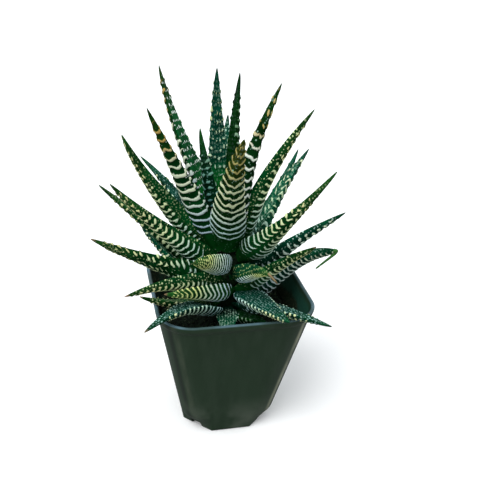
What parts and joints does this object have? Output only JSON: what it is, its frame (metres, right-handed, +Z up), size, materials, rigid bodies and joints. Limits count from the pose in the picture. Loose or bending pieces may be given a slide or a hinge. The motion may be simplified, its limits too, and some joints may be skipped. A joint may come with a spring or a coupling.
{
  "type": "potted haworthia",
  "caption": "Zebra haworthia rosette of pointed fleshy leaves with raised pale cross bands, in soil in a square tapered plastic nursery pot.",
  "frame": {"origin": "centre of the pot's base, on its underside", "axes": "+Z up through the middle of the pot, X and Y along the pot's sides; the picture's camera looks from about 14 degrees to the left of -Y"},
  "size_m": [0.1145, 0.1221, 0.1766],
  "materials": {
    "pot": "satin thin vacuum-formed plastic",
    "soil": "rough moist crumbs",
    "stem": "rough dry sheaths",
    "leaf": "waxy satin skin"
  },
  "bodies": {
    "root": {"pot": "pot", "soil": "soil", "stem": "stem", "leaf_01": "leaf", "leaf_02": "leaf", "leaf_03": "leaf", "leaf_04": "leaf", "leaf_05": "leaf", "leaf_06": "leaf", "leaf_07": "leaf", "leaf_08": "leaf", "leaf_09": "leaf", "leaf_10": "leaf", "leaf_11": "leaf", "leaf_12": "leaf", "leaf_13": "leaf", "leaf_14": "leaf", "leaf_15": "leaf", "leaf_16": "leaf", "leaf_17": "leaf", "leaf_18": "leaf", "leaf_19": "leaf", "leaf_20": "leaf", "leaf_21": "leaf", "leaf_22": "leaf", "leaf_23": "leaf", "leaf_24": "leaf", "leaf_25": "leaf", "leaf_26": "leaf", "leaf_27": "leaf", "leaf_28": "leaf", "leaf_29": "leaf", "leaf_30": "leaf", "leaf_31": "leaf", "leaf_32": "leaf", "leaf_33": "leaf", "leaf_34": "leaf", "leaf_35": "leaf", "leaf_36": "leaf", "leaf_37": "leaf", "leaf_38": "leaf"}
  },
  "joints": []
}
